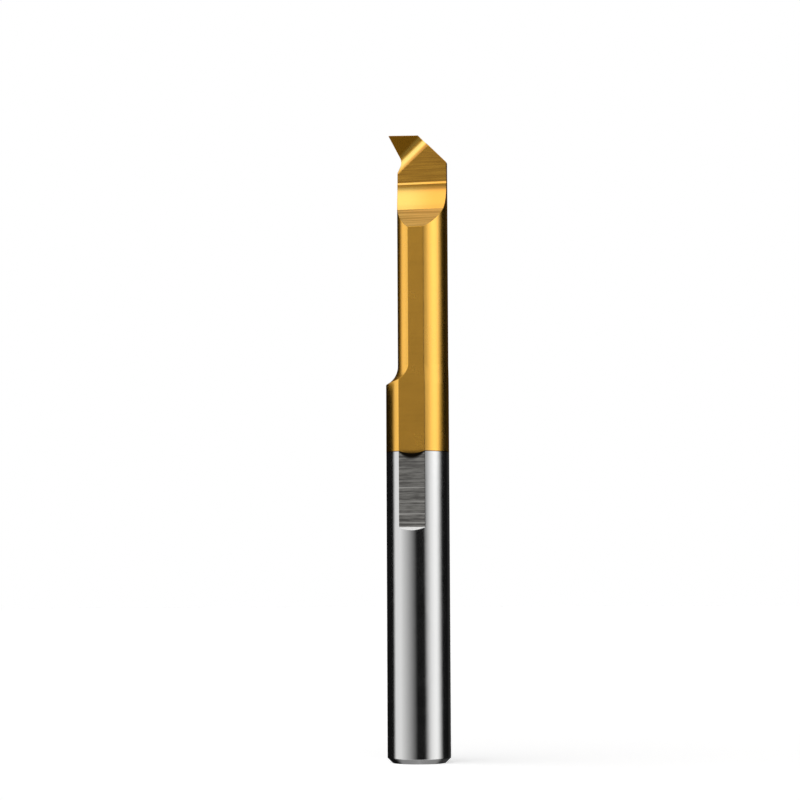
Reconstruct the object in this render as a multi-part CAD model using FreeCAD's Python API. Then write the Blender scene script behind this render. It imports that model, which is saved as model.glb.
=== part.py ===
import FreeCAD, Part
import math
import os

# A miniature boring bar ground from one round carbide blank.
# The origin is the centre of the rear end face and +Z runs to the cutting end.
# The clamping flat and the rake face look along -Y, and the nose points along -X.
# A height below is a distance from the tool axis towards -Y. All sizes are in mm and degrees.

# Blank
SHANK_DIAMETER = 5.0
OVERALL_LENGTH = 50.0
REAR_CHAMFER = 0.4

# Clamping flat
FLAT_DEPTH = 0.23
FLAT_LENGTH = 31.6
FLAT_RUNOUT_ANGLE = 45.0

# Neck, an eccentric relief that leaves the side opposite the nose almost on the shank's surface
REACH = 20.27
NECK_DEPTH = 0.97
NECK_OFFSET = 1.13
NECK_CLEARANCE = 0.02
NECK_CLEARANCE_RUNOUT = 1.5
SHOULDER_RADIUS = 1.65
NECK_RUNOUT_ANGLE = 45.0
HEAD_LENGTH = 3.15

# Chip gullet in front of the cutting edges, ground in two passes
LAND_HEIGHT = 0.12
LAND_LENGTH = 3.93
STEP_HEIGHT = 0.055
STEP_ANGLE = 20.0
GULLET_LENGTH = 4.2
GULLET_RADIUS = 3.5
GULLET_ANGLE = 35.0
RAMP_ANGLE = 42.0

# Nose and its edges
NOSE_INSET = 0.2
NOSE_RADIUS = 0.05
FRONT_EDGE_LENGTH = 2.42
FRONT_DISH_ANGLE = 1.0
FRONT_CLEARANCE = 7.0
BACK_CHAMFER_ANGLE = 45.0
TRAILING_ANGLE = 26.5
TRAILING_CLEARANCE = 10.0

# Relief groove between the trailing edge and the neck
GROOVE_RADIUS = 0.92
GROOVE_ANGLE = 19.0
GROOVE_DISTANCE = 2.18

# Heel relief under the nose
HEEL_DISTANCE = 0.9
HEEL_ANGLE = 32.0

# Chip former, a shallow hollow that crosses the head behind the nose
FORMER_DIRECTION = 42.3
FORMER_RAKE = 4.0
FORMER_DISTANCE = 2.06
FORMER_RADIUS = 1.2

# Values worked out from the sizes above
shank_radius = SHANK_DIAMETER / 2.0
neck_radius = shank_radius - NECK_DEPTH + NECK_OFFSET
shoulder_start = OVERALL_LENGTH - REACH
nose_offset = shank_radius - NOSE_INSET
flat_height = shank_radius - FLAT_DEPTH
flat_end = OVERALL_LENGTH - FLAT_LENGTH
head_start = OVERALL_LENGTH - HEAD_LENGTH
land_end = OVERALL_LENGTH - LAND_LENGTH
gullet_low = OVERALL_LENGTH - GULLET_LENGTH
beyond = SHANK_DIAMETER
X_AXIS = FreeCAD.Vector(1, 0, 0)
Y_AXIS = FreeCAD.Vector(0, 1, 0)
Z_AXIS = FreeCAD.Vector(0, 0, 1)


def sine(angle):
    return math.sin(math.radians(angle))


def cosine(angle):
    return math.cos(math.radians(angle))


def tangent(angle):
    return math.tan(math.radians(angle))


def along_axis(height, z):
    """A point of a profile that is drawn on the plane X = 0."""
    return FreeCAD.Vector(0, -height, z)


def across_head(x, z):
    """A point of a profile that is drawn on the axis plane Y = 0."""
    return FreeCAD.Vector(x, 0, z)


def line(start, end):
    return Part.makeLine(start, end)


def arc(start, middle, end):
    return Part.Arc(start, middle, end).toShape()


def face_of(edges):
    return Part.Face(Part.Wire(edges))


def polygon_face(points):
    return Part.Face(Part.makePolygon(points + points[:1]))


def blank():
    """The round bar with its rear chamfer."""
    outline = polygon_face([
        across_head(0, 0),
        across_head(shank_radius - REAR_CHAMFER, 0),
        across_head(shank_radius, REAR_CHAMFER),
        across_head(shank_radius, OVERALL_LENGTH),
        across_head(0, OVERALL_LENGTH),
    ])
    return outline.revolve(FreeCAD.Vector(0, 0, 0), Z_AXIS, 360)


def swept_across(profile):
    """A profile on the plane X = 0, swept past both sides of the bar."""
    start = profile.copy()
    start.translate(-beyond * X_AXIS)
    return start.extrude(2 * beyond * X_AXIS)


def clamping_flat():
    """What the flat takes away, with the wheel's sloping run-out at its rear end."""
    rise = beyond - flat_height
    return swept_across(polygon_face([
        along_axis(flat_height, OVERALL_LENGTH + beyond),
        along_axis(flat_height, flat_end),
        along_axis(beyond, flat_end - rise / tangent(FLAT_RUNOUT_ANGLE)),
        along_axis(beyond, OVERALL_LENGTH + beyond),
    ]))


def neck_relief():
    """What is ground off round the offset neck axis: shoulder radius, neck and run-out."""
    shoulder_turn = math.acos(1 - NECK_DEPTH / SHOULDER_RADIUS)
    neck_start = shoulder_start + SHOULDER_RADIUS * math.sin(shoulder_turn)
    outside = neck_radius + beyond

    def on_arc(angle):
        return across_head(
            neck_radius + SHOULDER_RADIUS * (1 - cosine(angle)),
            neck_start - SHOULDER_RADIUS * sine(angle),
        )

    wheel_side = on_arc(90)
    wheel_out = across_head(outside, wheel_side.z)
    neck_top = across_head(neck_radius, head_start)
    runout_out = across_head(outside, head_start + beyond / tangent(NECK_RUNOUT_ANGLE))
    profile = face_of([
        line(wheel_out, wheel_side),
        arc(wheel_side, on_arc(45), on_arc(0)),
        line(on_arc(0), neck_top),
        line(neck_top, runout_out),
        line(runout_out, wheel_out),
    ])
    profile.translate(NECK_OFFSET * X_AXIS)
    return profile.revolve(FreeCAD.Vector(NECK_OFFSET, 0, 0), Z_AXIS, 360)


def neck_clearance():
    """The thin ring that leaves the neck and head a little under the shank, so that they pass its hole."""
    runout_end = shoulder_start + NECK_CLEARANCE_RUNOUT
    profile = polygon_face([
        across_head(shank_radius, shoulder_start),
        across_head(shank_radius - NECK_CLEARANCE, runout_end),
        across_head(shank_radius - NECK_CLEARANCE, OVERALL_LENGTH + beyond),
        across_head(shank_radius + beyond, OVERALL_LENGTH + beyond),
        across_head(shank_radius + beyond, shoulder_start),
    ])
    return profile.revolve(FreeCAD.Vector(0, 0, 0), Z_AXIS, 360)


def chip_gullet():
    """What is ground off above the land: the low pass, its step and ridge, the hollow pass and its ramp."""
    ridge_height = LAND_HEIGHT + STEP_HEIGHT
    ridge = land_end - STEP_HEIGHT / tangent(STEP_ANGLE)
    ridge_angle = math.degrees(math.asin((gullet_low - ridge) / GULLET_RADIUS))

    def on_arc(angle):
        return along_axis(
            ridge_height + GULLET_RADIUS * (cosine(ridge_angle) - cosine(angle)),
            gullet_low - GULLET_RADIUS * sine(angle),
        )

    ramp_start = on_arc(GULLET_ANGLE)
    ramp_end = along_axis(beyond, ramp_start.z - (beyond + ramp_start.y) / tangent(RAMP_ANGLE))
    top = OVERALL_LENGTH + beyond
    return swept_across(face_of([
        line(along_axis(LAND_HEIGHT, top), along_axis(LAND_HEIGHT, land_end)),
        line(along_axis(LAND_HEIGHT, land_end), on_arc(ridge_angle)),
        arc(on_arc(ridge_angle), on_arc((ridge_angle + GULLET_ANGLE) / 2), ramp_start),
        line(ramp_start, ramp_end),
        line(ramp_end, along_axis(beyond, top)),
        line(along_axis(beyond, top), along_axis(LAND_HEIGHT, top)),
    ]))


def half_space(point, outward):
    """A block that takes everything beyond a plane away."""
    size = OVERALL_LENGTH
    block = Part.makeBox(size, size, size, FreeCAD.Vector(-size / 2, -size / 2, 0))
    block.Placement = FreeCAD.Placement(point, FreeCAD.Rotation(Z_AXIS, outward))
    return block


def flank_normal(edge_angle, clearance):
    """The outward normal of a flank whose edge lies edge_angle below square to the axis."""
    return FreeCAD.Vector(
        sine(edge_angle) * cosine(clearance),
        sine(clearance),
        cosine(edge_angle) * cosine(clearance),
    )


def front_flank():
    nose = across_head(-nose_offset, OVERALL_LENGTH)
    return half_space(nose, flank_normal(FRONT_DISH_ANGLE, FRONT_CLEARANCE))


def back_chamfer():
    corner = across_head(
        FRONT_EDGE_LENGTH - nose_offset,
        OVERALL_LENGTH - FRONT_EDGE_LENGTH * tangent(FRONT_DISH_ANGLE),
    )
    return half_space(corner, flank_normal(BACK_CHAMFER_ANGLE, FRONT_CLEARANCE))


def trailing_groove():
    """The trailing flank, its hollow radius and the groove's lower side, with side clearance."""
    turn = (TRAILING_ANGLE + GROOVE_ANGLE) / 2
    reach = GROOVE_RADIUS * tangent(turn)
    bottom = across_head(
        -nose_offset + GROOVE_DISTANCE * tangent(TRAILING_ANGLE),
        OVERALL_LENGTH - GROOVE_DISTANCE,
    )
    upward = across_head(-sine(TRAILING_ANGLE), cosine(TRAILING_ANGLE))
    downward = across_head(-sine(GROOVE_ANGLE), -cosine(GROOVE_ANGLE))
    tilt = (TRAILING_ANGLE - GROOVE_ANGLE) / 2
    inward = across_head(-cosine(tilt), -sine(tilt))
    arc_top = bottom + reach * upward
    arc_bottom = bottom + reach * downward
    arc_middle = bottom + GROOVE_RADIUS * (1 / cosine(turn) - 1) * inward
    high = bottom + beyond * upward
    low = bottom + beyond * downward
    profile = face_of([
        line(high, arc_top),
        arc(arc_top, arc_middle, arc_bottom),
        line(arc_bottom, low),
        line(low, low - beyond * X_AXIS),
        line(low - beyond * X_AXIS, high - beyond * X_AXIS),
        line(high - beyond * X_AXIS, high),
    ])
    sweep = FreeCAD.Vector(tangent(TRAILING_CLEARANCE), 1, 0)
    profile.translate(-beyond * sweep)
    return profile.extrude(2 * beyond * sweep)


def heel_relief():
    """A steeper second flank under the nose, down to the neck."""
    edge = FreeCAD.Vector(-nose_offset + HEEL_DISTANCE * tangent(TRAILING_CLEARANCE), HEEL_DISTANCE, 0)
    slope = FreeCAD.Vector(sine(HEEL_ANGLE), cosine(HEEL_ANGLE), 0)
    outside = FreeCAD.Vector(-cosine(HEEL_ANGLE), sine(HEEL_ANGLE), 0)
    start = edge + head_start * Z_AXIS
    profile = polygon_face([
        start,
        start + beyond * slope,
        start + beyond * slope + beyond * outside,
        start + beyond * outside,
    ])
    return profile.extrude((HEAD_LENGTH + beyond) * Z_AXIS)


def chip_former():
    """The hollow behind the nose: a floor that falls away from it and a hollow wall up to the land."""
    along = across_head(cosine(FORMER_DIRECTION), sine(FORMER_DIRECTION))
    to_nose = across_head(-sine(FORMER_DIRECTION), cosine(FORMER_DIRECTION))
    nose = across_head(-nose_offset, OVERALL_LENGTH)

    def at(distance, height):
        """A point of the hollow's section, by distance behind the nose."""
        return nose - distance * to_nose - height * Y_AXIS

    def on_arc(angle):
        return at(
            FORMER_DISTANCE + FORMER_RADIUS * (sine(angle) + sine(FORMER_RAKE)),
            floor_height + FORMER_RADIUS * (cosine(FORMER_RAKE) - cosine(angle)),
        )

    upright = 90
    floor_height = -FORMER_DISTANCE * tangent(FORMER_RAKE)
    front_height = beyond * tangent(FORMER_RAKE)
    wall_end = FORMER_DISTANCE + FORMER_RADIUS * (1 + sine(FORMER_RAKE))
    section = face_of([
        line(at(-beyond, front_height), on_arc(-FORMER_RAKE)),
        arc(on_arc(-FORMER_RAKE), on_arc(upright / 2), on_arc(upright)),
        line(on_arc(upright), at(wall_end, beyond)),
        line(at(wall_end, beyond), at(-beyond, beyond)),
        line(at(-beyond, beyond), at(-beyond, front_height)),
    ])
    section.translate(-beyond * along)
    return section.extrude(2 * beyond * along)


def nose_radius(tool):
    """Rounds the short upright edge where the front and trailing flanks meet."""
    nose = across_head(-nose_offset, OVERALL_LENGTH)

    def at_nose(edge):
        return min(vertex.Point.distanceToPoint(nose) for vertex in edge.Vertexes) < NOSE_RADIUS

    def is_upright(edge):
        direction = edge.tangentAt(edge.FirstParameter)
        return abs(direction.y) > max(abs(direction.x), abs(direction.z))

    upright = [edge for edge in tool.Edges if at_nose(edge) and is_upright(edge)]
    return tool.makeFillet(NOSE_RADIUS, upright)


def boring_bar():
    cuts = [
        clamping_flat(),
        neck_clearance(),
        neck_relief(),
        chip_gullet(),
        trailing_groove(),
        heel_relief(),
        front_flank(),
        back_chamfer(),
        chip_former(),
    ]
    tool = blank()
    for cutter in cuts:
        tool = tool.cut(cutter)
    return nose_radius(tool).Solids[0]


os.makedirs("parts", exist_ok=True)
bar = boring_bar()
bar.exportStep("parts/boring_bar.step")
print("valid", bar.isValid(), "volume", round(bar.Volume, 2), "faces", len(bar.Faces))
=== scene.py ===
import math

import bmesh
import bpy
from mathutils import Matrix, Vector


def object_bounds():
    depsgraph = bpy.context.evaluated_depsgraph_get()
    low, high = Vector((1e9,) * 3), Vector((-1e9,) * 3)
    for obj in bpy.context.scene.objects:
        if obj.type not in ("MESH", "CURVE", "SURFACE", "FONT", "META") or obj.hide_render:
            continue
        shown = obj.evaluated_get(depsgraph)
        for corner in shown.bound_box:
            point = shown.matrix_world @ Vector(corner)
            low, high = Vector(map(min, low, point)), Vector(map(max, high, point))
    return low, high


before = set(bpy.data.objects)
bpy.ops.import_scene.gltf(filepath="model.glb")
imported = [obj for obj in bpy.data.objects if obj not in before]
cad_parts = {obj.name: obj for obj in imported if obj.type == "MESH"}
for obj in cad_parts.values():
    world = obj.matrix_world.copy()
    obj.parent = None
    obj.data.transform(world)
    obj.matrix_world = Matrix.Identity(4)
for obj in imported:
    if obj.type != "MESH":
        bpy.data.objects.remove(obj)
cad_low, cad_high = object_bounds()
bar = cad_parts["boring_bar"]

MM = 0.001

# The camera stands a little to the right of the rake face's normal and looks slightly upwards.
CAMERA_AZIMUTH = 12.5
CAMERA_DISTANCE = 180 * MM
CAMERA_HEIGHT = 12.893 * MM
CAMERA_SIDE_STEP = 1.393 * MM
CAMERA_TILT = 4.978
CAMERA_ROLL = -0.265
CAMERA_LENS = 102.15
CAMERA_SENSOR = 36.0
CAMERA_NEAR = 0.01
CAMERA_FAR = 20.0

# Where the coating ends, along the tool. Inside the clamping flat it creeps further, over a dark rim.
COATING_EDGE = 24.40 * MM
COATING_CREEP = 0.20 * MM
COATING_SOFT = 0.04 * MM
COATING_WAVER = 0.05 * MM
RIM_WIDTH = 0.05 * MM
RIM_CREEP = 0.24 * MM
RIM_FADE = 0.30 * MM
THIN_WIDTH = 0.32 * MM
THIN_SHARE = 0.75

# The flat faces that look along -Y, and the faces of the cutting head. Two numbers say where a mask
# starts and where it is full. Four are a band, which is full between the middle two.
FLAT_NORMALS = (-0.999, -0.9998)
FLAT_DEPTHS = (-2.42 * MM, -2.36 * MM)
FLAT_HALF_WIDTH = 1.05 * MM
RAKE_NORMALS = (-0.9998, -0.9990, -0.996, -0.990)
RAKE_START = (46.6 * MM, 46.65 * MM)
RAMP_NORMALS = (-0.80, -0.78, -0.70, -0.68)
RAMP_HEIGHTS = (42.07 * MM, 42.17 * MM, 43.79 * MM, 43.80 * MM)
STRAIGHT_ACROSS = (0.06, 0.03)
GULLET_START = (43.77 * MM, 43.81 * MM)
GULLET_WIDTH = (-1.0 * MM, 1.8 * MM)
GULLET_LINES_START = (45.35 * MM, 45.5 * MM)
HEAD_LINES_START = (43.79 * MM, 44.79 * MM)

# Across the chip former, measured from the middle of its hollow wall and away from the nose
FORMER_WALL = 48.9 * MM
FORMER_NORMALS = (-0.70, -0.80)
OFF_THE_FORMER = 1.0
FORMER_FLOOR = (-0.95 * MM, -0.45 * MM)
# Band of painted highlight on the hollow wall
FORMER_PAINTED_HIGHLIGHT = (-0.5 * MM, -0.25 * MM, 0.25 * MM, 0.5 * MM)
# Band of painted shade along the wall's border
FORMER_PAINTED_SHADE = (0.42 * MM, 0.72 * MM, 0.85 * MM, 0.9 * MM)
FORMER_HOLLOW = (-0.65 * MM, -0.5 * MM, 0.3 * MM, 0.45 * MM)

# Noise scales per metre, and how little of x the noise for lines keeps
FINE_LINES = 5600.0
BROAD_LINES = 1700.0
DEEP_LINES = 4400.0
GRIT = 7500.0
GRAIN = 5200.0
RIPPLE = 1300.0
WAVER = 1500.0
PATCHES = 500.0
LINE_STRETCH = 0.02
DEEP_STRETCH = 0.015
GRIT_STRETCH = 0.13
SCRATCH_ROW = 0.3
SCORE_ROW = 0.8
GRIT_ROW = 0.6
NOISE_ROUGHNESS = 0.6

# The noise values between which a pattern goes from none to full
LINE_NOISE = (0.40, 0.60)
RAMP_LINE_NOISE = (0.36, 0.64)
WORN_NOISE = (0.42, 0.58)
SCRATCH_NOISE = (0.565, 0.635)
PATCH_NOISE = (0.3, 0.7)

# How much of each pattern shows
FINE_SHARE = 0.65
BROAD_SHARE = 0.35
WORN_SHARE = 0.7
GRIT_SHARE = 0.3
SCORE_SHARE = 0.75
GULLET_LINE_SHARE = (0.0, 0.4)
HEAD_LINE_SHARE = (0.12, 0.75)

EDGE_RADIUS = 0.07 * MM
# How far the bevel turns the normal where the painted shade of the edges starts and is full, and how
# much of it shows
EDGE_TURNED = (0.965, 0.88)
EDGE_SHARE = 0.8
EDGE_SAMPLES = 6

RELIEF_DEPTH = 0.002 * MM
RELIEF_LINES = 0.35
RELIEF_GRAIN = 0.22
RELIEF_RIPPLE = 1.8

CARBIDE_ROUGHNESS = 0.15
COATING_ROUGHER = 0.11
RAMP_ROUGHER = 0.2
GULLET_SMOOTHER = -0.07
PATCH_ROUGHNESS = 0.02
GRINDING_ANISOTROPY = 0.25
GRINDING_TURN = 0.25
GLAZE_SHARE = (0.05, 0.28)
GLAZE_ROUGHNESS = 0.12
GLAZE_IOR = 2.0

CARBIDE_ROUND = (0.72, 0.72, 0.715, 1.0)
CARBIDE_FLAT = (0.60, 0.585, 0.55, 1.0)
CARBIDE_FLAT_DARK = (0.26, 0.25, 0.235, 1.0)
CARBIDE_SCRATCH = (0.86, 0.84, 0.80, 1.0)
CARBIDE_SCORE = (0.15, 0.145, 0.14, 1.0)
GOLD_ROUND = (0.98, 0.525, 0.075, 1.0)
# Painted light across the gullet: paler on its left, deeper orange on its right
GOLD_GULLET_PAINTED_LIGHT = (0.98, 0.60, 0.12, 1.0)
GOLD_GULLET_PAINTED_SHADE = (0.97, 0.46, 0.055, 1.0)
GOLD_FLAT = (0.92, 0.475, 0.065, 1.0)
# Painted highlight on the chip former's wall
GOLD_PAINTED_HIGHLIGHT = (0.98, 0.66, 0.16, 1.0)
# Painted shade along the border of the chip former's wall
GOLD_WALL_PAINTED_SHADE = (0.66, 0.28, 0.04, 1.0)
GOLD_LINE = (0.60, 0.28, 0.035, 1.0)
GOLD_RAKE = (0.50, 0.22, 0.01, 1.0)
GOLD_RAKE_LOW = (0.84, 0.50, 0.08, 1.0)
GOLD_RAMP = (0.66, 0.41, 0.11, 1.0)
GOLD_RAMP_LINE = (0.45, 0.26, 0.06, 1.0)
# Painted shade: the dark outline along the outer edges
GOLD_EDGE = (0.20, 0.09, 0.012, 1.0)
CARBIDE_EDGE_TINT = (1.0, 1.0, 1.0, 1.0)
GOLD_EDGE_TINT = (1.0, 0.62, 0.25, 1.0)
RIM_COLOUR = (0.016, 0.012, 0.008, 1.0)
PALE = (1.0, 1.0, 1.0, 1.0)

# The studio: how bright each softbox is, and the dark that the black cards leave
LEFT_BOX = 0.94
LEFT_BOX_UPPER = 1.1
RIGHT_BOX = 0.97
RIGHT_CORE = (0.2, 0.58)
RIGHT_FILL = 0.05
TOP_BOX = 1.3
BACK_BOX = 0.5
CEILING = 0.5
BELOW = 0.3
CARD = 0.007

# Degrees round from the camera, to the right, at which each softbox starts and is full, or fades
LEFT_RISE = (-5.4, -70.0)
LEFT_FALL = (-107.0, -90.0)
RIGHT_RISE = (19.0, 48.0)
RIGHT_FALL = (100.0, 67.0)
RIGHT_LEAN = -11.0
CORE_RISE = (42.0, 64.0)
FILL_RISE = (118.0, 160.0)
BACK_RISE = (166.0, 178.0)

# Degrees above the horizon
UPPER_PART = (5.2, 7.4)
CORE_HEIGHTS = (2.5, 6.0)
LEFT_TOP = (46.0, 24.0)
TOP_BOX_HEIGHTS = (12.0, 30.0)
CEILING_HEIGHTS = (22.0, 42.0)
ZENITH_HEIGHTS = (60.0, 74.0)
BELOW_HEIGHTS = (-40.0, -56.0)

# How far a direction points towards the camera, from -1 to 1
FRONT_REACH = (-0.30, 0.45)
ZENITH_REACH = (-0.35, -0.12)
CEILING_REACH = (-0.28, -0.55)

TENT_RADIUS = 2.5
TENT_SEGMENTS = 64

# The small card beside the neck, with angles in degrees round from the rake side
SIDE_CARD = 1.0
SIDE_CARD_RADIUS = 9 * MM
SIDE_CARD_LOW = 30.2 * MM
SIDE_CARD_FADE = 1.0 * MM
SIDE_CARD_HIGH = 70 * MM
SIDE_CARD_START = -72.0
SIDE_CARD_END = -115.0
SIDE_CARD_END_FADE = 24.0
SIDE_CARD_STEPS = 12

FLOOR_SIZE = 3.0
FLOOR_COLOUR = 0.8
FLOOR_SHADED = 0.42
FLOOR_WHITE = 1.015

# The lamp's angles in degrees, and its place in metres
LAMP_WIDTH = 80
LAMP_TILT = 35
LAMP_TURN = -50
LAMP_PLACE = (-0.1, -0.15, 0.6)


class Shader:
    """A short way to add nodes to one node tree and join them."""

    def __init__(self, tree):
        self.tree = tree
        self.tree.nodes.clear()

    def add(self, kind, **settings):
        node = self.tree.nodes.new(kind)
        for name, value in settings.items():
            setattr(node, name, value)
        return node

    def put(self, value, socket):
        if isinstance(value, bpy.types.NodeSocket):
            self.tree.links.new(value, socket)
        elif value is not None:
            socket.default_value = value

    def math(self, operation, first, second=None, third=None, clamp=False):
        node = self.add("ShaderNodeMath", operation=operation, use_clamp=clamp)
        for value, socket in zip((first, second, third), node.inputs):
            self.put(value, socket)
        return node.outputs[0]

    def times(self, first, second):
        return self.math("MULTIPLY", first, second)

    def blend(self, first, first_share, second, second_share):
        return self.math("ADD", self.times(first, first_share), self.times(second, second_share))

    def step(self, value, start, end, low=0.0, high=1.0, smooth=True):
        """Goes from low to high as value goes from start to end."""
        kind = "SMOOTHSTEP" if smooth else "LINEAR"
        node = self.add("ShaderNodeMapRange", interpolation_type=kind, clamp=True)
        for item, socket in zip((value, start, end, low, high), node.inputs):
            self.put(item, socket)
        return node.outputs[0]

    def band(self, value, edges):
        """1 between the middle two of the four edges, and 0 outside the outer two."""
        start, full, last_full, end = edges
        return self.times(self.step(value, start, full), self.step(value, end, last_full))

    def mix(self, share, first, second):
        node = self.add("ShaderNodeMix", data_type="RGBA")
        self.put(share, node.inputs["Factor"])
        self.put(first, node.inputs["A"])
        self.put(second, node.inputs["B"])
        return next(out for out in node.outputs if out.type == "RGBA")

    def split(self, vector):
        node = self.add("ShaderNodeSeparateXYZ")
        self.put(vector, node.inputs[0])
        return node.outputs

    def noise(self, vector, scale, detail=2.0, roughness=0.5):
        node = self.add("ShaderNodeTexNoise")
        self.put(vector, node.inputs["Vector"])
        self.put(scale, node.inputs["Scale"])
        self.put(detail, node.inputs["Detail"])
        self.put(roughness, node.inputs["Roughness"])
        return node.outputs[0]

    def stretched(self, x, row, z, stretch):
        """A place for noise that is drawn out along x. Another row gives another pattern."""
        node = self.add("ShaderNodeCombineXYZ")
        for value, socket in zip((self.times(x, stretch), row, z), node.inputs):
            self.put(value, socket)
        return node.outputs[0]

    def azimuth(self, x, y):
        """Degrees round the tool from its rake side, to the right."""
        return self.math("DEGREES", self.math("ARCTAN2", x, self.times(y, -1.0)))

    def finish(self, shader, kind="ShaderNodeOutputMaterial"):
        self.put(shader, self.add(kind).inputs["Surface"])

    def finish_as_glow(self, light):
        glow = self.add("ShaderNodeEmission")
        glow.inputs["Color"].default_value = PALE
        self.put(light, glow.inputs["Strength"])
        self.finish(glow.outputs[0])


def new_material(name):
    material = bpy.data.materials.new(name)
    material.use_nodes = True
    return material, Shader(material.node_tree)


def coating_masks(s, place, x, z, flat_face):
    """The coated part, the bare part and, inside the flat, the darker thin end of the coating."""
    across = s.math("DIVIDE", x, FLAT_HALF_WIDTH)
    hump = s.math("SUBTRACT", 1.0, s.times(across, across), clamp=True)
    hump = s.times(hump, flat_face)
    waver = s.times(s.math("SUBTRACT", s.noise(place, WAVER), 0.5), COATING_WAVER)
    edge = s.math("SUBTRACT", COATING_EDGE, s.times(hump, COATING_CREEP))
    above_edge = s.math("SUBTRACT", z, s.math("ADD", edge, waver))
    coated = s.step(above_edge, -COATING_SOFT, COATING_SOFT)
    rim = s.math("MULTIPLY_ADD", hump, RIM_CREEP, RIM_WIDTH)
    clear = s.math("SUBTRACT", -COATING_SOFT, s.times(hump, RIM_FADE))
    bare = s.step(s.math("ADD", above_edge, rim), COATING_SOFT, clear)
    thin = s.times(s.step(above_edge, THIN_WIDTH, 0.0), s.times(hump, THIN_SHARE))
    return coated, bare, thin


def carbide_colour(s, x, z, lines, flat_face):
    """Even on the round shank. Inside the flat, grinding lines with single scratches and scores."""
    scratches = s.noise(s.stretched(x, SCRATCH_ROW, z, DEEP_STRETCH), DEEP_LINES, detail=1.0)
    scores = s.noise(s.stretched(x, SCORE_ROW, z, DEEP_STRETCH), DEEP_LINES, detail=1.0)
    grit = s.noise(s.stretched(x, GRIT_ROW, z, GRIT_STRETCH), GRIT)
    worn = s.blend(lines, WORN_SHARE, grit, GRIT_SHARE)
    flat = s.mix(s.step(worn, *WORN_NOISE), CARBIDE_FLAT, CARBIDE_FLAT_DARK)
    flat = s.mix(s.times(s.step(scores, *SCRATCH_NOISE), SCORE_SHARE), flat, CARBIDE_SCORE)
    flat = s.mix(s.step(scratches, *SCRATCH_NOISE), flat, CARBIDE_SCRATCH)
    return s.mix(flat_face, CARBIDE_ROUND, flat)


def gold_colour(s, x, z, lines, fine, former, flat_face, gullet, ramp, rake):
    """The coating's tint on each ground face, as the angle and finish of the grinding change it. Across
    the gullet and on the chip former's wall it also holds painted light and painted shade.
    """
    line_share = s.step(lines, *LINE_NOISE)
    # Painted light across the gullet: paler on the left, deeper on the right
    gullet_painted_gold = s.mix(s.step(x, *GULLET_WIDTH), GOLD_GULLET_PAINTED_LIGHT, GOLD_GULLET_PAINTED_SHADE)
    gold = s.mix(gullet, GOLD_ROUND, gullet_painted_gold)
    # Painted highlight on the chip former's wall
    gold = s.mix(s.band(former, FORMER_PAINTED_HIGHLIGHT), gold, GOLD_PAINTED_HIGHLIGHT)
    # Painted shade along the border of the chip former's wall
    gold = s.mix(s.band(former, FORMER_PAINTED_SHADE), gold, GOLD_WALL_PAINTED_SHADE)
    gullet_lines = s.times(gullet, s.step(z, *GULLET_LINES_START, *GULLET_LINE_SHARE))
    gold = s.mix(s.times(line_share, gullet_lines), gold, GOLD_LINE)
    head_lines = s.step(z, *HEAD_LINES_START, *HEAD_LINE_SHARE)
    gold_flat = s.mix(s.times(line_share, head_lines), GOLD_FLAT, GOLD_LINE)
    gold = s.mix(flat_face, gold, gold_flat)
    gold_ramp = s.mix(s.step(fine, *RAMP_LINE_NOISE), GOLD_RAMP, GOLD_RAMP_LINE)
    gold = s.mix(ramp, gold, gold_ramp)
    gold_rake = s.mix(s.step(former, *FORMER_FLOOR), GOLD_RAKE, GOLD_RAKE_LOW)
    return s.mix(rake, gold, gold_rake)


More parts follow.
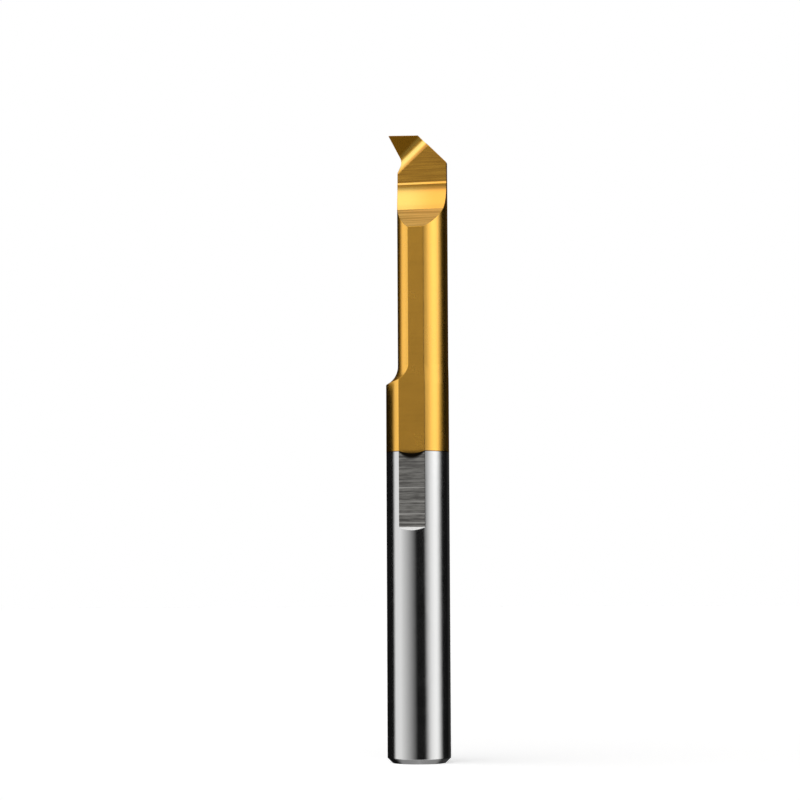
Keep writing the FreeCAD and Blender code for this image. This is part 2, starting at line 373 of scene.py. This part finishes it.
def tool_material():
    """Bare ground carbide behind the coating edge and gold nitride in front of it."""
    material, s = new_material("ground_carbide_and_coating")
    place = s.add("ShaderNodeTexCoord").outputs["Object"]
    x, y, z = s.split(place)
    facing = s.add("ShaderNodeNewGeometry").outputs["Normal"]
    normal_x, normal_y = s.split(facing)[:2]

    flat_face = s.times(s.step(normal_y, *FLAT_NORMALS), s.step(y, *FLAT_DEPTHS))
    straight = s.step(s.math("ABSOLUTE", normal_x), *STRAIGHT_ACROSS)
    ramp = s.times(s.band(z, RAMP_HEIGHTS), s.band(normal_y, RAMP_NORMALS))
    ramp = s.times(ramp, straight)
    gullet = s.times(s.step(z, *GULLET_START), straight)
    rake = s.times(s.band(normal_y, RAKE_NORMALS), s.step(z, *RAKE_START))
    former = s.math("ADD", s.math("SUBTRACT", x, z), FORMER_WALL)
    # Faces that look another way are moved out of its range
    former = s.math("ADD", s.step(normal_y, *FORMER_NORMALS, OFF_THE_FORMER, 0.0), former)

    # Grinding lines run across the tool, fine ones over broad ones
    line_place = s.stretched(x, 0.0, z, LINE_STRETCH)
    fine = s.noise(line_place, FINE_LINES, roughness=NOISE_ROUGHNESS)
    broad = s.noise(line_place, BROAD_LINES, detail=3.0, roughness=NOISE_ROUGHNESS)
    lines = s.blend(fine, FINE_SHARE, broad, BROAD_SHARE)

    coated, bare, thin = coating_masks(s, place, x, z, flat_face)
    carbide = carbide_colour(s, x, z, lines, flat_face)
    gold = gold_colour(s, x, z, lines, fine, former, flat_face, gullet, ramp, rake)
    gold = s.mix(thin, gold, RIM_COLOUR)
    colour = s.mix(coated, s.mix(bare, RIM_COLOUR, carbide), gold)

    # The bevel rounds the outer edges, and their colour gets painted shade as a dark outline. The
    # hollow of the chip former has no such edge.
    bevel = s.add("ShaderNodeBevel", samples=EDGE_SAMPLES)
    bevel.inputs["Radius"].default_value = EDGE_RADIUS
    turned = s.add("ShaderNodeVectorMath", operation="DOT_PRODUCT")
    s.put(bevel.outputs[0], turned.inputs[0])
    s.put(facing, turned.inputs[1])
    painted_edge_shade = s.times(s.step(turned.outputs["Value"], *EDGE_TURNED), coated)
    painted_edge_shade = s.times(painted_edge_shade, s.math("SUBTRACT", 1.0, s.band(former, FORMER_HOLLOW)))
    colour = s.mix(s.times(painted_edge_shade, EDGE_SHARE), colour, GOLD_EDGE)

    shader = s.add("ShaderNodeBsdfPrincipled")
    s.put(colour, shader.inputs["Base Color"])
    shader.inputs["Metallic"].default_value = 1.0
    patches = s.noise(place, PATCHES, detail=3.0)
    rough = s.math("MULTIPLY_ADD", coated, COATING_ROUGHER, CARBIDE_ROUGHNESS)
    uneven = s.step(patches, *PATCH_NOISE, -PATCH_ROUGHNESS, PATCH_ROUGHNESS, smooth=False)
    rough = s.math("ADD", rough, uneven)
    rough = s.math("MULTIPLY_ADD", ramp, RAMP_ROUGHER, rough)
    rough = s.math("MULTIPLY_ADD", gullet, GULLET_SMOOTHER, rough)
    s.put(rough, shader.inputs["Roughness"])
    s.put(s.mix(coated, CARBIDE_EDGE_TINT, GOLD_EDGE_TINT), shader.inputs["Specular Tint"])
    shader.inputs["Anisotropic"].default_value = GRINDING_ANISOTROPY
    shader.inputs["Anisotropic Rotation"].default_value = GRINDING_TURN
    tangent = s.add("ShaderNodeTangent", direction_type="RADIAL", axis="Z")
    s.put(tangent.outputs[0], shader.inputs["Tangent"])
    plain = s.math("MAXIMUM", s.math("MAXIMUM", flat_face, ramp), rake)
    glaze = s.times(coated, s.step(plain, 1.0, 0.0, *GLAZE_SHARE, smooth=False))
    s.put(glaze, shader.inputs["Coat Weight"])
    shader.inputs["Coat Roughness"].default_value = GLAZE_ROUGHNESS
    shader.inputs["Coat IOR"].default_value = GLAZE_IOR

    grain = s.noise(place, GRAIN, detail=3.0, roughness=NOISE_ROUGHNESS)
    ripple = s.noise(place, RIPPLE, detail=1.0)
    relief = s.blend(lines, RELIEF_LINES, grain, RELIEF_GRAIN)
    relief = s.math("ADD", relief, s.times(ripple, RELIEF_RIPPLE))
    bump = s.add("ShaderNodeBump")
    bump.inputs["Strength"].default_value = 1.0
    bump.inputs["Distance"].default_value = RELIEF_DEPTH
    s.put(relief, bump.inputs["Height"])
    s.put(bevel.outputs[0], bump.inputs["Normal"])
    s.put(bump.outputs[0], shader.inputs["Normal"])
    s.finish(shader.outputs[0])
    return material


def pale_rays(s):
    """1 on the rays that see the pale background: camera, glossy and transmission rays."""
    path = s.add("ShaderNodeLightPath")
    seen = s.math("ADD", path.outputs["Is Camera Ray"], path.outputs["Is Glossy Ray"])
    return s.math("ADD", seen, path.outputs["Is Transmission Ray"], clamp=True)


def set_world():
    """White where it is seen. It gives no light: the lamp lights the floor, and the tent the metal."""
    world = bpy.data.worlds.new("pale_room")
    bpy.context.scene.world = world
    world.use_nodes = True
    s = Shader(world.node_tree)
    both = s.add("ShaderNodeMixShader")
    s.put(pale_rays(s), both.inputs[0])
    # The second background is for the rays that see it, and the first for all others
    for strength, socket in zip((0.0, 1.0), both.inputs[1:]):
        background = s.add("ShaderNodeBackground")
        background.inputs["Color"].default_value = PALE
        background.inputs["Strength"].default_value = strength
        s.put(background.outputs[0], socket)
    s.finish(both.outputs[0], "ShaderNodeOutputWorld")


def stage_mesh(name, build, material):
    """Makes a studio object, which isn't part of the tool, from what was built."""
    mesh = bpy.data.meshes.new(name)
    build.to_mesh(mesh)
    build.free()
    mesh.materials.append(material)
    item = bpy.data.objects.new(name, mesh)
    bpy.context.scene.collection.objects.link(item)
    return item


def floor_material():
    """A pale floor that keeps the tool's shadow, with the rest of its white added where it is seen."""
    material, s = new_material("pale_floor")
    diffuse = s.add("ShaderNodeBsdfDiffuse")
    diffuse.inputs["Color"].default_value = (FLOOR_COLOUR, FLOOR_COLOUR, FLOOR_COLOUR, 1.0)
    glow = s.add("ShaderNodeEmission")
    glow.inputs["Color"].default_value = PALE
    s.put(s.times(pale_rays(s), FLOOR_WHITE - FLOOR_SHADED), glow.inputs["Strength"])
    both = s.add("ShaderNodeAddShader")
    s.put(diffuse.outputs[0], both.inputs[0])
    s.put(glow.outputs[0], both.inputs[1])
    s.finish(both.outputs[0])
    return material


def make_floor():
    """The metal mirrors the tent below it and not the floor, as in the photograph."""
    build = bmesh.new()
    bmesh.ops.create_grid(build, x_segments=1, y_segments=1, size=FLOOR_SIZE)
    floor = stage_mesh("floor", build, floor_material())
    floor.visible_glossy = False


def tent_material():
    """The studio round the tool: a graded softbox on each side, one overhead and dark cards between."""
    material, s = new_material("studio_tent")
    outward = s.add("ShaderNodeVectorMath", operation="NORMALIZE")
    s.put(s.add("ShaderNodeTexCoord").outputs["Object"], outward.inputs[0])
    x, y, z = s.split(outward.outputs[0])
    side = s.math("WRAP", s.math("SUBTRACT", s.azimuth(x, y), CAMERA_AZIMUTH), 180.0, -180.0)
    height = s.math("DEGREES", s.math("ARCSINE", z))
    level = s.math("SQRT", s.math("SUBTRACT", 1.0, s.times(z, z)))
    towards = s.times(level, s.math("COSINE", s.math("RADIANS", side)))

    upper = s.step(height, *UPPER_PART)
    left = s.step(side, *LEFT_RISE, 0.0, LEFT_BOX, smooth=False)
    left = s.times(left, s.step(upper, 0.0, 1.0, 1.0, LEFT_BOX_UPPER))
    left = s.times(left, s.step(side, *LEFT_FALL))
    left = s.times(left, s.step(height, *LEFT_TOP))

    core = s.times(s.step(side, *CORE_RISE), s.step(height, *CORE_HEIGHTS, *RIGHT_CORE))
    right = s.math("ADD", s.step(side, *RIGHT_RISE, 0.0, RIGHT_BOX), core)
    leaning = s.math("MULTIPLY_ADD", upper, RIGHT_LEAN, side)
    right = s.times(right, s.step(leaning, *RIGHT_FALL))
    right = s.math("ADD", right, s.step(side, *FILL_RISE, 0.0, RIGHT_FILL))

    back = s.step(s.math("ABSOLUTE", side), *BACK_RISE, 0.0, BACK_BOX)
    around = s.math("ADD", s.math("ADD", left, right), back)
    around = s.math("MAXIMUM", around, CARD)
    around = s.math("MAXIMUM", around, s.step(height, *BELOW_HEIGHTS, 0.0, BELOW))
    ceiling = s.times(s.step(height, *CEILING_HEIGHTS), s.step(towards, *CEILING_REACH, 0.0, CEILING))
    around = s.math("MAXIMUM", around, ceiling)

    zenith = s.times(s.step(height, *ZENITH_HEIGHTS), s.step(towards, *ZENITH_REACH))
    front = s.math("MAXIMUM", s.step(towards, *FRONT_REACH), zenith)
    light = s.add("ShaderNodeMix", data_type="FLOAT")
    s.put(s.times(s.step(height, *TOP_BOX_HEIGHTS), front), light.inputs["Factor"])
    s.put(around, light.inputs["A"])
    s.put(TOP_BOX, light.inputs["B"])
    s.finish_as_glow(light.outputs[0])
    return material


def only_reflections(item):
    """The camera, the floor's light and its shadow pass through the item."""
    item.visible_camera = False
    item.visible_diffuse = False
    item.visible_transmission = False
    item.visible_shadow = False


def make_tent():
    build = bmesh.new()
    bmesh.ops.create_uvsphere(
        build, u_segments=TENT_SEGMENTS, v_segments=TENT_SEGMENTS, radius=TENT_RADIUS)
    tent = stage_mesh("studio_tent", build, tent_material())
    tent.location = (cad_low + cad_high) / 2
    only_reflections(tent)


def side_card_material():
    material, s = new_material("side_card")
    x, y, z = s.split(s.add("ShaderNodeTexCoord").outputs["Object"])
    faded_in = SIDE_CARD_END + SIDE_CARD_END_FADE
    light = s.step(s.azimuth(x, y), SIDE_CARD_END, faded_in, 0.0, SIDE_CARD)
    light = s.times(light, s.step(z, SIDE_CARD_LOW, SIDE_CARD_LOW + SIDE_CARD_FADE))
    s.finish_as_glow(light)
    return material


def make_side_card():
    """A small white card, curved round the tool, close to the neck's left side."""
    build = bmesh.new()
    columns = []
    for step in range(SIDE_CARD_STEPS + 1):
        turn = (SIDE_CARD_END - SIDE_CARD_START) * step / SIDE_CARD_STEPS
        angle = math.radians(SIDE_CARD_START + turn)
        x = math.sin(angle) * SIDE_CARD_RADIUS
        y = -math.cos(angle) * SIDE_CARD_RADIUS
        columns.append([build.verts.new((x, y, height)) for height in (SIDE_CARD_LOW, SIDE_CARD_HIGH)])
    for first, second in zip(columns, columns[1:]):
        build.faces.new((first[0], second[0], second[1], first[1]))
    card = stage_mesh("side_card", build, side_card_material())
    only_reflections(card)


def make_lamp():
    """A wide soft lamp overhead, for the floor and the tool's shadow."""
    data = bpy.data.lights.new("overhead_lamp", "SUN")
    data.angle = math.radians(LAMP_WIDTH)
    tilt = math.radians(LAMP_TILT)
    data.energy = FLOOR_SHADED * math.pi / FLOOR_COLOUR / math.cos(tilt)
    lamp = bpy.data.objects.new("overhead_lamp", data)
    bpy.context.scene.collection.objects.link(lamp)
    lamp.location = LAMP_PLACE
    lamp.rotation_euler = (tilt, 0.0, math.radians(CAMERA_AZIMUTH + LAMP_TURN))
    lamp.visible_glossy = False


def make_camera():
    azimuth = math.radians(CAMERA_AZIMUTH)
    tilt = math.radians(CAMERA_TILT)
    right = Vector((math.cos(azimuth), math.sin(azimuth), 0.0))
    level = Vector((-math.sin(azimuth), math.cos(azimuth), 0.0))
    forward = level * math.cos(tilt) + Vector((0.0, 0.0, math.sin(tilt)))
    up = right.cross(forward)
    roll = Matrix.Rotation(math.radians(CAMERA_ROLL), 3, -forward)
    right, up = roll @ right, roll @ up
    stand = Vector((0.0, 0.0, CAMERA_HEIGHT)) - level * CAMERA_DISTANCE - right * CAMERA_SIDE_STEP

    data = bpy.data.cameras.new("camera")
    data.lens = CAMERA_LENS
    data.sensor_width = CAMERA_SENSOR
    data.clip_start = CAMERA_NEAR
    data.clip_end = CAMERA_FAR
    camera = bpy.data.objects.new("camera", data)
    bpy.context.scene.collection.objects.link(camera)
    axes = Matrix((right, up, -forward)).transposed()
    camera.matrix_world = Matrix.Translation(stand) @ axes.to_4x4()
    bpy.context.scene.camera = camera


bar.data.materials.clear()
bar.data.materials.append(tool_material())
set_world()
make_floor()
make_tent()
make_side_card()
make_lamp()
make_camera()
bpy.context.scene.view_settings.view_transform = "Standard"
